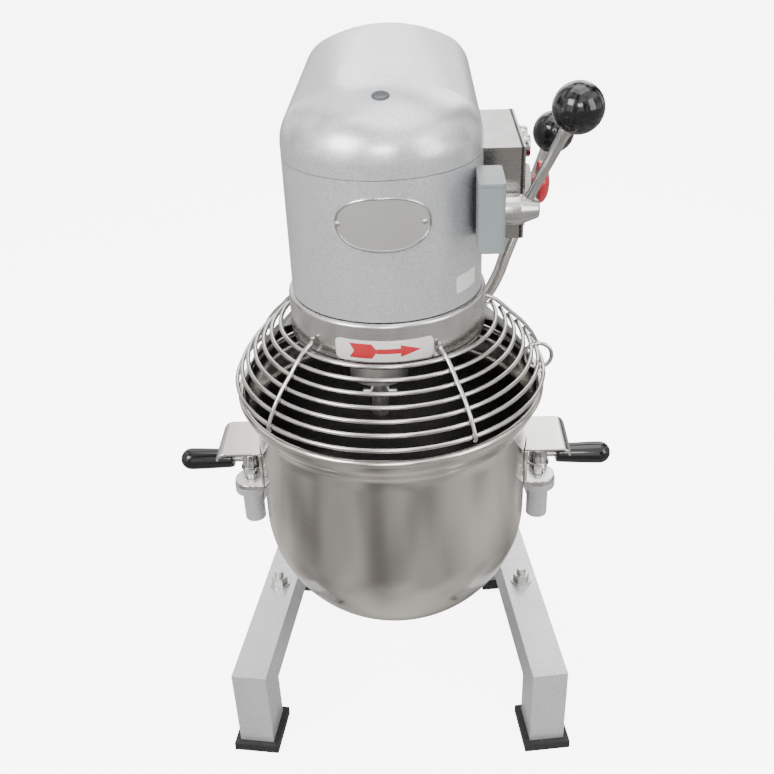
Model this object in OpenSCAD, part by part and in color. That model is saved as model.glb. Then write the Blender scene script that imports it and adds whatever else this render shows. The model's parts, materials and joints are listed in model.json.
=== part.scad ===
/* [Bowl] */
// Outer radius of the rolled bowl rim
rim_r = 170; // [169:0.5:171]
// Height of the rim above the floor with the bowl raised
rim_z = 495; // [494:0.5:496]
// Radius of the straight part of the bowl wall
wall_r = 153; // [151:0.5:153.5]
// Height of the bowl's lowest point with the bowl raised
bowl_bottom_z = 186; // [180:1:196]

/* [Head] */
// Radius of the round front of the head, and half its width
head_r = 100; // [99.5:0.5:100.5]
// Height of the head's underside
head_z = 612.6; // [612.4:0.1:613]
// Height of the crown along the head's centre line
crown_z = 824; // [822:1:826]
// Distance from the bowl axis to the back of the head
head_back = 275; // [273:1:278]

/* [Stand] */
// Angle by which each side beam turns inwards towards the back
splay = 6.66; // [6:0.1:7]
// Height of the top of the side beams
beam_top = 126; // [125:1:127]
// Width of the square tube
tube_w = 43.4; // [42:0.2:44]

/* [Mechanism] */
// Height of the gear lever's turning axis
shift_z = 697; // [696.8:0.1:697.2]
// Height of the bowl lift's turning axis
lift_z = 440; // [439:1:441]
// Height that the bowl lift travels
lift_travel = 55; // [50:1:56]

/* [Hidden] */
$fn = 64;

eps = 0.01;
gap = 0.3;

// Stand: the front corner of each side beam, its height and lengths
leg_x = 185.75;
leg_y = -98.35;
beam_h = 50;
beam_z = beam_top - beam_h;
beam_len = 355;
leg_d = 52;
joint_u = 215;
tube_t = 3;
pad_h = 12;
pad_lip = 7;
bolt_u = 173.5;
bolt_r = 6;

// Column and bowl lift
col_x = 58;
col_y0 = 188;
col_y1 = 270;
col_z0 = 136;
lift_y = 252;
crank_r = 57.5;
crank_turn = asin(lift_travel / 2 / crank_r);
crank_pin_y = lift_y - crank_r * cos(crank_turn);
crank_pin_z = lift_z + crank_r * sin(crank_turn);

// Bowl clamps: locating pin, ear and clamp stud on each side
pin_x = 170;
pin_y = -5;
stud_x = 173;
stud_y = 25;
ear_z = 357;
ear_t = 6;
grip_z = 370;

// Gears: module, teeth and heights
mod_g = 2;
z_in_low = 18;
z_out_low = 44;
z_in_high = 28;
z_out_high = 34;
input_y = mod_g * (z_in_low + z_out_low) / 2;
z_planet = 24;
z_ring = 66;
orbit_r = mod_g * (z_ring - z_planet) / 2;
orbit_a = -104;
agit_x = orbit_r * cos(orbit_a);
agit_y = orbit_r * sin(orbit_a);
main_r = 14;
input_r = 10;
agit_r = 10;
fit = 0.05;

// Gear change: the lever's shaft, and the finger that lifts the sleeve
shift_y = -24;
finger_r = 24;
finger_a = 20;
finger_z = shift_z - finger_r * sin(finger_a);
finger_y = shift_y + finger_r * cos(finger_a);
sleeve_h = 16;
ball_r = 25;
shift_ball_at = [187, -22, 795];
lift_ball_at = [200, 228, 700];

// Motor, pulleys and belt
motor_y = 178;
belt_z = 757;
pulley_in_r = 22;
pulley_out_r = 44;

// Collar and guard
collar_r = 104.2;
collar_z = 568.7;
carrier_z = 565.3;
shield_from = 92;
shield_to = 270;
wire_r = 2.4;
guard_r = [116, 126.5, 136, 146, 155, 162.6, 169];
guard_z = [572, 563, 553, 543.5, 533, 522, 509];
guard_from = -118;
guard_to = 104;
rib_angles = [-118, -44, 30, 104];

// Control box on the head's right side
box_x = 139;
box_y0 = -8;
box_y1 = 133;
box_z0 = 660;
box_z1 = 754.5;
button_z = 737;
start_y = 85;
stop_y = 55;
estop_y = 33;
estop_z = 705;

// ---- Helpers ----

// Turns an angle measured from the front, towards the right, into one from +X
function from_front(a) = a - 90;

function arc(cx, cy, r, a0, a1, n) =
  [for (i = [0:n]) [cx + r * cos(a0 + (a1 - a0) * i / n), cy + r * sin(a0 + (a1 - a0) * i / n)]];

// Half of the head's arch, from the crown to the foot of the side, inset by d
crown_r = 170;
shoulder_r = 45;
shoulder_x = head_r - shoulder_r;
shoulder_a = acos(shoulder_x / (crown_r - shoulder_r));
shoulder_z = crown_z - crown_r + (crown_r - shoulder_r) * sin(shoulder_a);
function half_arch(d, z0) = concat(
  arc(0, crown_z - crown_r, crown_r - d, 90, shoulder_a, 8),
  arc(shoulder_x, shoulder_z, shoulder_r - d, shoulder_a - 6, 0, 10),
  [[head_r - d, z0]]
);
function mirrored(pts) = [for (i = [len(pts) - 1:-1:0]) [-pts[i][0], pts[i][1]]];

// The head's outside as a solid, inset by d: a turned front and a straight back
module head_form(d, z0, y1) {
  half = half_arch(d, z0);
  rotate_extrude($fn = 96) polygon(concat(half, [[0, z0]]));
  translate([0, y1, 0]) rotate([90, 0, 0]) linear_extrude(y1)
    polygon(concat(half, mirrored(half)));
}

// The region of the front cap: above the seam and in front of the crown's cross seam
cap_z = 755;
cap_corner = 30;
module cap_region(shrink) {
  reach = 140;
  rotate([90, 0, 90]) translate([0, 0, -reach]) linear_extrude(2 * reach)
    polygon(concat(
      [[-reach, cap_z + shrink], [-reach, crown_z + 20], [-shrink, crown_z + 20]],
      arc(-cap_corner - shrink, cap_z + shrink + cap_corner, cap_corner, 0, -90, 10)
    ));
}

// Angle of an involute at pressure angle a, in degrees
function inv(a) = tan(a) * 180 / PI - a;
// Half a tooth's angle at radius r, for z teeth and thickness factor k
function half_tooth(z, r, k) =
  90 / z * k + inv(20) - inv(acos(min(1, mod_g * z / 2 * cos(20) / r)));

module gear_outline(z, tooth_at, k, add, ded) {
  r_root = mod_g * (z / 2 - ded);
  r_pitch = mod_g * z / 2;
  r_tip = mod_g * (z / 2 + add);
  r_base = max(r_root, r_pitch * cos(20));
  radii = [r_root, (r_base + r_pitch) / 2, (r_pitch + r_tip) / 2, r_tip];
  polygon([for (i = [0:z - 1]) for (side = [-1, 1]) for (j = [0:3])
    let (
      r = side < 0 ? radii[j] : radii[3 - j],
      a = tooth_at + 360 * i / z + side * half_tooth(z, max(r, r_base), k)
    ) [r * cos(a), r * sin(a)]
  ]);
}

module spur_gear(z, tooth_at, h, bore) {
  linear_extrude(h) difference() {
    gear_outline(z, tooth_at, 0.93, 0.95, 1.25);
    circle(r = bore);
  }
}

module tube(r_out, r_in, h) {
  linear_extrude(h) difference() {
    circle(r = r_out);
    circle(r = r_in);
  }
}

// A round bar between two points
module bar(a, b, r) {
  v = b - a;
  translate(a) rotate([0, acos(v[2] / norm(v)), atan2(v[1], v[0])]) cylinder(h = norm(v), r = r);
}

module hexagon(across, h) cylinder(h = h, r = across / 2 / cos(30), $fn = 6);

// Places children in the right-hand side beam's own frame: +Y runs along the beam
module at_leg() translate([leg_x, leg_y, 0]) rotate([0, 0, splay]) children();
module left_side() mirror([1, 0, 0]) children();
module both_sides() {
  children();
  left_side() children();
}

function rounded_box(x0, x1, y0, y1, r) = concat(
  arc(x1 - r, y1 - r, r, 0, 90, 5), arc(x0 + r, y1 - r, r, 90, 180, 5),
  arc(x0 + r, y0 + r, r, 180, 270, 5), arc(x1 - r, y0 + r, r, 270, 360, 5)
);

// ---- Stand ----

module front_leg() {
  h = tube_w / 2;
  at_leg() difference() {
    union() {
      translate([-h, 0, beam_z]) cube([tube_w, joint_u, beam_h]);
      translate([-h, 0, pad_h]) cube([tube_w, leg_d, beam_top - pad_h]);
    }
    translate([-h + tube_t, tube_t, beam_z + tube_t])
      cube([tube_w - 2 * tube_t, joint_u, beam_h - 2 * tube_t]);
    translate([-h + tube_t, tube_t, 0])
      cube([tube_w - 2 * tube_t, leg_d - 2 * tube_t, beam_z + 2 * tube_t]);
    translate([0, bolt_u, 0]) cylinder(h = 200, r = bolt_r + 0.5);
  }
}

module front_leg_right() color("silver") front_leg();
module front_leg_left() color("silver") left_side() front_leg();

module base_frame() color("silver") {
  h = tube_w / 2;
  rear_u = beam_len - leg_d;
  difference() {
    union() {
      both_sides() at_leg() {
        translate([-h, joint_u + gap, beam_z]) cube([tube_w, beam_len - joint_u - gap, beam_h]);
        translate([-h, rear_u, pad_h]) cube([tube_w, leg_d, beam_top - pad_h]);
        // Sleeve bar inside the front leg's tube
        translate([-h + tube_t + gap, bolt_u - 25, beam_z + tube_t + gap])
          cube([tube_w - 2 * (tube_t + gap), 120, beam_h - 2 * (tube_t + gap)]);
      }
      translate([-125, 190, beam_z + 4]) cube([250, 60, beam_h - 4]);
      translate([-92, 180, beam_top - eps]) cube([184, 96, col_z0 - beam_top + eps]);
    }
    both_sides() at_leg() {
      translate([0, bolt_u, 0]) cylinder(h = 200, r = bolt_r + 0.5);
      translate([-h + tube_t, rear_u + tube_t, 0])
        cube([tube_w - 2 * tube_t, leg_d - 2 * tube_t, beam_z]);
    }
    for (x = [-76, 76], y = [196, 262]) translate([x, y, 0]) cylinder(h = 200, r = 5.5);
    translate([-105, 205, 0]) cube([210, 30, 105]);
  }
}

module foot_pad(u0) {
  h = tube_w / 2;
  at_leg() {
    translate([-h - pad_lip, u0 - pad_lip, 0])
      cube([tube_w + 2 * pad_lip, leg_d + 2 * pad_lip, pad_h - gap]);
    translate([-h + tube_t + gap, u0 + tube_t + gap, 0])
      cube([tube_w - 2 * (tube_t + gap), leg_d - 2 * (tube_t + gap), pad_h + 25]);
  }
}

module foot_pads() color([0.08, 0.08, 0.08]) both_sides() {
  foot_pad(0);
  foot_pad(beam_len - leg_d);
}

module leg_bolts() color("lightgray") both_sides() at_leg()
  translate([0, bolt_u, beam_z - 8]) {
    hexagon(19, 8);
    cylinder(h = beam_h + 8 + 22, r = bolt_r);
  }

module leg_nuts() color("lightgray") both_sides() at_leg()
  translate([0, bolt_u, beam_top]) {
    tube(14, bolt_r + 0.2, 2.5);
    translate([0, 0, 2.7]) difference() {
      hexagon(19, 10);
      translate([0, 0, -1]) cylinder(h = 12, r = bolt_r + 0.1);
    }
  }

// ---- Column ----

module column() color("silver") {
  h = head_z - 0.1 - col_z0;
  wall = 6;
  difference() {
    union() {
      translate([-col_x, col_y0, col_z0]) cube([2 * col_x, col_y1 - col_y0, h]);
      translate([-90, 182, col_z0]) cube([180, 92, 10]);
    }
    translate([-col_x + wall, col_y0 + wall, col_z0 - 1])
      cube([2 * (col_x - wall), col_y1 - col_y0 - 2 * wall, h + 2]);
    // Window that the lift's fork reaches through
    translate([-32, col_y0 - 8, lift_z - lift_travel / 2 - 25])
      cube([50, 20, lift_travel + 45]);
    translate([-col_x - 1, lift_y, lift_z]) rotate([0, 90, 0]) cylinder(h = 2 * col_x + 2, r = 9 + fit);
    for (x = [-76, 76], y = [196, 262]) translate([x, y, col_z0 - 1]) cylinder(h = 12, r = 5.5);
    translate([0, col_y1 - wall - 1, 200]) rotate([-90, 0, 0]) cylinder(h = 10, r = 8);
  }
}

module column_bolts() color("lightgray") for (x = [-76, 76], y = [196, 262])
  translate([x, y, 0]) {
    translate([0, 0, col_z0 + 10.1]) hexagon(16, 7);
    translate([0, 0, 110]) cylinder(h = col_z0 + 10.1 - 110 + 1, r = 5);
  }

module slideway() color("darkgray") {
  y1 = col_y0 - 0.1;
  difference() {
    translate([0, 0, 200]) linear_extrude(300)
      polygon([[-30, y1], [30, y1], [36, y1 - 7], [-36, y1 - 7]]);
    translate([-26, col_y0 - 12, lift_z - lift_travel / 2 - 22]) cube([40, 20, 120]);
  }
}

// ---- Head ----

wall_t = 4;
module head_casing() color("silver") difference() {
  head_form(0, head_z, head_back - 7);
  head_form(wall_t, head_z - 1, head_back - 6);
  cap_region(-gap / 2);
  translate([60, shift_y, shift_z]) rotate([0, 90, 0]) cylinder(h = 60, r = 8);
}

module front_cap() color("silver") difference() {
  intersection() {
    head_form(0, cap_z, 10);
    cap_region(gap / 2);
  }
  head_form(wall_t, cap_z - 1, 12);
  translate([2, -46, crown_z - 30]) cylinder(h = 60, r = 8.5);
}

module cap_plug() color([0.2, 0.22, 0.24]) translate([2, -46, crown_z - 12]) cylinder(h = 4, r = 8.4);

panel_t = 6.7;
module rear_panel() color("silver") translate([0, head_back, 0]) rotate([90, 0, 0]) difference() {
  linear_extrude(panel_t) polygon(concat(half_arch(0.6, head_z), mirrored(half_arch(0.6, head_z))));
  for (x = [-84, 84], z = [640, 750]) translate([x, z, -1]) cylinder(h = 12, r = 2.6);
  for (i = [-4:4]) translate([-35, 690 + i * 8, -1]) cube([70, 3.5, 12]);
}

module panel_screws() color("lightgray") for (x = [-84, 84], z = [640, 750])
  translate([x, head_back + 0.1, z]) rotate([90, 0, 0]) {
    translate([0, 0, -2.4]) cylinder(h = 2.4, r = 4.5);
    cylinder(h = 12, r = 2.4);
  }

// A plate that follows a vertical cylinder, cut to an outline drawn in X and Z
module curved_plate(r, t) intersection() {
  translate([0, 0, 500]) tube(r + t, r + 0.05, 300);
  rotate([90, 0, 0]) linear_extrude(r + 20) children();
}

module nameplate() color([0.6, 0.6, 0.58]) curved_plate(head_r, 1.6)
  polygon([for (i = [0:47]) [2 + 46.5 * cos(i * 7.5), 713 + 27 * sin(i * 7.5)]]);

module nameplate_rivets() color("gray") for (a = [-24, 24])
  rotate([0, 0, a]) translate([0, -head_r - 1.65, 713]) rotate([90, 0, 0]) cylinder(h = 1.6, r = 2.4);

module arrow_label() color([0.85, 0.83, 0.8]) curved_plate(collar_r, 0.5)
  polygon(rounded_box(-54, 46, 571.5, 594.5, 4));

// ---- Gearbox and motor ----

skirt_r = 95.5;
module gearbox_frame() color("dimgray") {
  in_r = head_r - wall_t - 0.3;
  z0 = head_z + 0.2;
  difference() {
    union() {
      translate([0, 0, z0]) linear_extrude(12) union() {
        circle(r = in_r);
        translate([-in_r, 0]) square([2 * in_r, head_back - 14]);
      }
      translate([0, 0, 577]) cylinder(h = z0 - 577 + 1, r = skirt_r);
      translate([0, 0, z0]) cylinder(h = 26, r = 34);
      translate([0, input_y, z0]) cylinder(h = 26, r = 20);
      for (p = [[-68, -50], [68, -50], [-80, 100], [80, 100]])
        translate([p[0], p[1], z0]) cylinder(h = 731 - z0, r = 7);
      translate([0, 0, 730]) linear_extrude(11)
        polygon([[-68, -60], [68, -60], [88, 0], [88, 108], [-88, 108], [-88, 0]]);
    }
    translate([0, 0, 570]) cylinder(h = 35, r = 88);
    translate([0, 0, 570]) cylinder(h = 200, r = 26);
    translate([0, input_y, z0 + 6]) cylinder(h = 200, r = input_r + fit);
  }
}

module main_bearings() color("gray") for (z = [head_z + 2, 731]) translate([0, 0, z])
  tube(26, main_r + fit, 9);

module ring_gear() color("gray") translate([0, 0, 580]) linear_extrude(13) difference() {
  circle(r = 87.9);
  gear_outline(z_ring, orbit_a, 1.07, 1.25, 0.95);
}

module planet_pinion() color("gray") translate([agit_x, agit_y, 581])
  spur_gear(z_planet, orbit_a, 11, agit_r);

module planet_carrier() color("lightgray") difference() {
  union() {
    translate([0, 0, 561]) cylinder(h = 13, r = 84);
    translate([0, 0, 574]) cylinder(h = 5, r = 24);
    translate([agit_x, agit_y, 524]) cylinder(h = 38, r = 31);
    for (a = [20, 90, 160]) rotate([0, 0, a]) translate([62, 0, 555]) hexagon(13, 7);
  }
  translate([agit_x, agit_y, 500]) cylinder(h = 90, r = agit_r + fit);
  translate([0, 0, 560]) cylinder(h = 30, r = main_r);
}

module agitator_shaft() color("lightgray") {
  // Free end for the tool, then the shaft with its cross pin
  translate([agit_x, agit_y, 474]) cylinder(h = 22, r = 9);
  translate([agit_x, agit_y, 495]) cylinder(h = 97, r = agit_r);
  translate([agit_x - 18, agit_y, 501]) rotate([0, 90, 0]) cylinder(h = 36, r = 3.5);
}

module main_shaft() color("lightgray") translate([0, 0, 562]) cylinder(h = 181, r = main_r);

low_z = finger_z - sleeve_h / 2 - 0.5;
high_z = finger_z + sleeve_h / 2 + 2 * finger_r * sin(finger_a) + 0.5;
module low_gear() color("gray") translate([0, 0, low_z - 15]) {
  spur_gear(z_out_low, 90 + 180 / z_out_low, 12, main_r + fit);
  tube(22, main_r + fit, 15);
}

module high_gear() color("gray") translate([0, 0, high_z]) {
  translate([0, 0, 3]) spur_gear(z_out_high, 90 + 180 / z_out_high, 9, main_r + fit);
  tube(22, main_r + fit, 12);
}

module dog_sleeve() color("lightgray") translate([0, 0, finger_z - sleeve_h / 2])
  rotate_extrude() polygon([
    [main_r + fit, 0], [22, 0], [22, 4.6], [17.2, 4.6],
    [17.2, 11.4], [22, 11.4], [22, sleeve_h], [main_r + fit, sleeve_h]
  ]);

module input_shaft() color("lightgray") translate([0, input_y, 0]) {
  translate([0, 0, head_z + 8]) cylinder(h = 159, r = input_r);
  translate([0, 0, low_z - 15]) spur_gear(z_in_low, -90, 12, input_r);
  translate([0, 0, high_z + 3]) spur_gear(z_in_high, -90, 9, input_r);
}

// A grooved pulley, turned about +Z, with its groove at mid height
module pulley(r, bore) rotate_extrude() polygon([
  [bore, -9], [r + 3, -9], [r + 3, -6.5], [r - 4, -3.5],
  [r - 4, 3.5], [r + 3, 6.5], [r + 3, 9], [bore, 9]
]);

module driven_pulley() color("dimgray") translate([0, input_y, belt_z]) pulley(pulley_out_r, input_r);

module motor_pulley() color("dimgray") translate([0, motor_y, 0]) {
  translate([0, 0, belt_z]) pulley(pulley_in_r, 7.9);
  translate([0, 0, 737]) cylinder(h = belt_z + 12 - 737, r = 8);
}

module motor() color([0.25, 0.3, 0.36]) translate([0, motor_y, 0]) difference() {
  union() {
    translate([0, 0, head_z + 13]) cylinder(h = 108, r = 55);
    for (a = [0:20:340]) rotate([0, 0, a]) translate([50, -1.5, head_z + 20]) cube([10, 3, 90]);
    translate([0, 0, head_z + 120]) cylinder(h = 8, r = 30);
  }
  translate([0, 0, 735]) cylinder(h = 20, r = 10);
}

module belt_outline(grow) {
  dy = motor_y - input_y;
  lean = asin((pulley_out_r - pulley_in_r) / dy);
  r_out = pulley_out_r + grow;
  r_in = pulley_in_r + grow;
  polygon(concat(
    arc(0, input_y, r_out, 180 - lean, 360 + lean, 40),
    arc(0, motor_y, r_in, lean, 180 - lean, 30)
  ));
}

module drive_belt() color([0.1, 0.1, 0.1]) translate([0, 0, belt_z - 3]) linear_extrude(6)
  difference() {
    belt_outline(2.8);
    belt_outline(-3.5);
  }

// ---- Collar, guard and shield ----

module collar() color("lightgray") {
  top = head_z - 1.2;
  rotate_extrude($fn = 96) polygon(concat(
    [[skirt_r + 0.1, collar_z + 2], [skirt_r + 0.1, top]],
    arc(collar_r - 5, top - 5, 5, 90, 0, 6),
    arc(collar_r - 2, collar_z + 2, 2, 0, -90, 3),
    [[skirt_r + 2, collar_z]]
  ));
}

// A rotate_extrude swept between two angles from the front
module sweep(a0, a1) rotate([0, 0, from_front(a0)]) rotate_extrude(angle = a1 - a0, $fn = 96) children();

shield_in = 9;
shield_t = 1.2;
module splash_shield() color("lightgray") {
  n = len(guard_r) - 1;
  lip_z = guard_z[n] - 9;
  top_z = carrier_z - 1.8;
  flange_r = skirt_r - 0.1;
  sweep(shield_from, shield_to) polygon(concat(
    [[flange_r, 576.9], [flange_r, top_z], [collar_r, top_z]],
    [for (i = [1:n]) [guard_r[i] - shield_in, guard_z[i] - 4]],
    [[guard_r[n] - shield_in, lip_z], [guard_r[n] - shield_in - shield_t, lip_z]],
    [for (i = [n:-1:1]) [guard_r[i] - shield_in - shield_t, guard_z[i] - 5]],
    [[collar_r, top_z - shield_t], [flange_r - shield_t, top_z - shield_t],
     [flange_r - shield_t, 576.9]]
  ));
}

module guard_rings() color("lightgray") {
  for (i = [0:len(guard_r) - 1])
    sweep(guard_from, guard_to) translate([guard_r[i], guard_z[i]]) circle(r = wire_r, $fn = 16);
  // Loop handle, welded to the fifth and the lowest ring
  rotate([0, 0, from_front(88)]) translate([163, 0, 521]) rotate([90, 0, 0])
    rotate_extrude() translate([15, 0]) circle(r = 2.2, $fn = 16);
}

rib_t = 4;
module guard_ribs() color("lightgray") for (a = rib_angles)
  rotate([0, 0, from_front(a)]) rotate([90, 0, 0]) translate([0, 0, -rib_t / 2]) linear_extrude(rib_t)
    polygon(concat(
      [[collar_r + 1.4, 582], [collar_r + 1.4, 586], [collar_r + 5, 586]],
      [for (i = [0:len(guard_r) - 1]) [guard_r[i] + 4, guard_z[i] + 4.5]],
      [[guard_r[6] + 3, guard_z[6] - 3], [guard_r[6] + 1, guard_z[6] - 2]],
      [for (i = [len(guard_r) - 1:-1:0]) [guard_r[i] + 1, guard_z[i] + 1]],
      [[collar_r + 4, 582]]
    ));

// Ring that turns under the collar, with a bar to the top wire at each rib
module guard_carrier() color("lightgray") {
  translate([0, 0, carrier_z]) tube(104, 96.5, 3);
  for (a = rib_angles) rotate([0, 0, from_front(a)])
    bar([102, 0, carrier_z + 1], [guard_r[0] - 0.5, 0, guard_z[0] - 1.2], 1.8);
}

// ---- Controls ----

module control_box() color([0.62, 0.6, 0.57]) difference() {
  translate([head_r + 0.1, box_y0, box_z0]) cube([box_x - head_r - 0.1, box_y1 - box_y0, box_z1 - box_z0]);
  translate([head_r + 2, box_y0 + 1.5, box_z0 + 1.5])
    cube([60, box_y1 - box_y0 - 3, box_z1 - box_z0 - 3]);
}

module control_lid() color([0.66, 0.64, 0.6]) difference() {
  translate([box_x + 0.4, box_y0, box_z0]) cube([2, box_y1 - box_y0, box_z1 - box_z0]);
  for (p = [[start_y, button_z], [stop_y, button_z], [estop_y, estop_z]])
    translate([box_x - 1, p[0], p[1]]) rotate([0, 90, 0]) cylinder(h = 5, r = 8.3);
}

lid_x = box_x + 2.4;
module button_bezels() color("lightgray") for (y = [start_y, stop_y])
  translate([lid_x + 0.1, y, button_z]) rotate([0, 90, 0]) tube(11.5, 8.3, 10.5);

module push_button(y) translate([lid_x - 10, y, button_z]) rotate([0, 90, 0]) cylinder(h = 21, r = 8);
module start_button() color("green") push_button(start_y);
module stop_button() color([0.7, 0.1, 0.1]) push_button(stop_y);

module estop_base() color([0.85, 0.84, 0.8]) translate([lid_x + 0.1, estop_y, estop_z])
  rotate([0, 90, 0]) tube(19, 8.6, 9);

module estop_button() color([0.8, 0.08, 0.1]) translate([lid_x - 10, estop_y, estop_z])
  rotate([0, 90, 0]) rotate_extrude() polygon(concat(
    [[0, 0], [8, 0], [8, 25.6], [20, 26.5], [21.9, 28.5]], arc(0, 9, 31, 45, 90, 8)
  ));

module interlock_box() color([0.62, 0.67, 0.66]) {
  translate([0, 0, 680]) linear_extrude(68) polygon(rounded_box(90, 115, -96, -41, 4));
  difference() {
    translate([82, -55, 700]) cube([8.5, 12, 30]);
    translate([0, 0, 650]) cylinder(h = 100, r = head_r + 0.1);
  }
}

module shift_shaft() color("lightgray") {
  translate([26, shift_y, shift_z]) rotate([0, 90, 0]) cylinder(h = 92, r = 7);
  bar([30, shift_y, shift_z], [30, finger_y, finger_z], 4.5);
  translate([18.5, finger_y, finger_z]) rotate([0, 90, 0]) cylinder(h = 13, r = 3);
}

module shift_hub() color("lightgray") translate([116.5, shift_y, shift_z]) rotate([0, 90, 0])
  rotate_extrude() polygon([
    [0, 1.6], [10, 1.6], [10, 0], [15.5, 0], [15.5, 20], [9, 36.5], [7.5, 38], [0, 38]
  ]);

module shift_rod() color("lightgray") {
  foot = [143, shift_y, shift_z + 9];
  v = shift_ball_at - foot;
  translate(foot) rotate([0, acos(v[2] / norm(v)), atan2(v[1], v[0])])
    cylinder(h = norm(v) - 22, r1 = 4.5, r2 = 6);
}

module shift_ball() color([0.05, 0.05, 0.05]) translate(shift_ball_at) sphere(r = ball_r);

// ---- Bowl lift, yoke and clamps ----

module bowl_yoke() color("silver") {
  arm_z = 318;
  block_top = crank_pin_z + 14;
  difference() {
    union() {
      // Slide block
      translate([-54, 173, arm_z]) cube([108, 14, block_top - arm_z]);
      // Half ring that carries the arms
      translate([0, 0, arm_z]) intersection() {
        tube(178, 160, 26);
        translate([-200, pin_y, 0]) cube([400, 190, 26]);
      }
      both_sides() {
        translate([pin_x, pin_y, 306]) cylinder(h = ear_z - 306, r = 12.5);
        translate([pin_x, pin_y, 348]) cylinder(h = 8.7, r = 20);
        translate([stud_x, stud_y, 318]) cylinder(h = 38.7, r = 12);
        translate([pin_x, pin_y, 350]) cylinder(h = 20, r = 5);
        translate([stud_x, stud_y, 340]) cylinder(h = 40, r = 6);
      }
    }
    translate([0, 0, arm_z - 1]) linear_extrude(200)
      polygon([[-30.5, 189], [30.5, 189], [36.5, 180.6], [-36.5, 180.6]]);
    translate([0, 0, 300]) cylinder(h = 60, r = 157);
  }
  // Fork for the lift's crank pin
  for (z = [crank_pin_z + 7.5, crank_pin_z - 13.5])
    translate([-25, 178, z]) cube([18, 39, 6]);
}

module lift_shaft() color("gray") {
  translate([-col_x, lift_y, lift_z]) rotate([0, 90, 0]) cylinder(h = 2 * col_x + 34, r = 9);
  translate([0, lift_y, lift_z]) rotate([-crank_turn, 0, 0])
    translate([-5, -crank_r - 6.5, -7]) cube([10, crank_r + 6.5, 14]);
  translate([-24, crank_pin_y, crank_pin_z]) rotate([0, 90, 0]) cylinder(h = 29, r = 6);
}

module lift_lever() color("lightgray") {
  foot = [col_x + 22, lift_y - 1, lift_z + 12];
  elbow = [126, 248, 478];
  knee = [146, 246, 526];
  tip = lift_ball_at + 0.12 * (knee - lift_ball_at);
  difference() {
    union() {
      translate([col_x + 4, lift_y, lift_z]) rotate([0, 90, 0]) cylinder(h = 30, r = 17);
      bar(foot, elbow, 9);
      bar(elbow, knee, 8.5);
      bar(knee, tip, 8);
      translate(elbow) sphere(r = 9.4);
      translate(knee) sphere(r = 8.9);
    }
    translate([col_x, lift_y, lift_z]) rotate([0, 90, 0]) cylinder(h = 60, r = 9);
  }
}

module lift_ball() color([0.05, 0.05, 0.05]) translate(lift_ball_at) sphere(r = ball_r);

module clamp() {
  translate([stud_x, stud_y, 0]) {
    translate([0, 0, ear_z + 0.2]) tube(11.5, 6 + fit, 24);
    translate([0, 0, ear_z + 24.1]) intersection() {
      sphere(r = 11.5);
      cylinder(h = 6, r = 12);
    }
    // Nose that holds the ear down
    translate([-5, -24, ear_z + ear_t + gap]) cube([10, 15, 8]);
    translate([10.5, 0, grip_z]) rotate([0, 90, 0]) cylinder(h = 40, r = 4.5);
  }
}

module clamp_right() color("lightgray") clamp();
module clamp_left() color("lightgray") left_side() clamp();

module grip() color([0.05, 0.05, 0.05])
  translate([194, stud_y, grip_z]) rotate([0, 90, 0]) rotate_extrude()
    polygon(concat(
      [[4.5, 0], [10, 0], [11.5, 2], [13, 50]], arc(0, 52, 13, 0, 90, 6), [[0, 30], [4.5, 30]]
    ));
module grip_right() grip();
module grip_left() left_side() grip();

// ---- Bowl ----

bowl_t = 1.6;
curve_h = 144;
function bowl_side(d) = concat(
  [for (i = [0:14]) let (a = i * 90 / 14)
    [(wall_r - d) * sin(a), bowl_bottom_z + curve_h - (curve_h - d) * cos(a)]],
  [[wall_r - d, rim_z - 34], [wall_r + 7 - d, rim_z - 24], [rim_r - 4.5 - d, rim_z - 16],
   [rim_r - 3.5 - d, rim_z - 6]]
);

module bowl_shell() color([0.75, 0.73, 0.7]) {
  outer = bowl_side(0);
  inner = bowl_side(bowl_t);
  rotate_extrude($fn = 96) polygon(concat(outer, [for (i = [len(inner) - 1:-1:0]) inner[i]]));
  rotate_extrude($fn = 96) translate([rim_r - 4, rim_z - 4]) circle(r = 4, $fn = 24);
}

module bowl_brackets() color("lightgray") both_sides() {
  x0 = wall_r + 0.2;
  // Upright sheet and ear, cut from one bent strip
  translate([0, pin_y + 19, 0]) rotate([90, 0, 0]) linear_extrude(38)
    polygon([[x0, ear_z], [x0 + 4, ear_z], [x0 + 4, 418], [x0, 418]]);
  difference() {
    union() {
      translate([x0, pin_y - 19, ear_z]) cube([pin_x - x0, 38, ear_t]);
      translate([pin_x, pin_y, ear_z]) cylinder(h = ear_t, r = 19);
    }
    translate([pin_x, pin_y, ear_z - 1]) cylinder(h = 10, r = 5.6);
    translate([pin_x - 5.6, pin_y, ear_z - 1]) cube([11.2, 40, 10]);
    translate([0, 0, ear_z - 1]) cylinder(h = 10, r = wall_r + 0.2);
  }
  // Hand plate, curled down at its outer edge
  translate([0, 35, 0]) rotate([90, 0, 0]) linear_extrude(72) polygon(concat(
    [[x0, 414], [x0, 418]], arc(194, 406, 12, 90, 10, 6), arc(194, 406, 8.5, 10, 90, 6)
  ));
}

module cable_gland() color([0.1, 0.1, 0.1]) translate([0, col_y1 + 0.1, 200]) rotate([-90, 0, 0]) {
  translate([0, 0, -7]) tube(7.8, 4, 8);
  tube(12, 4, 6);
  translate([0, 0, 6]) tube(9.5, 4, 9);
}

// ---- Assembly ----

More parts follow.
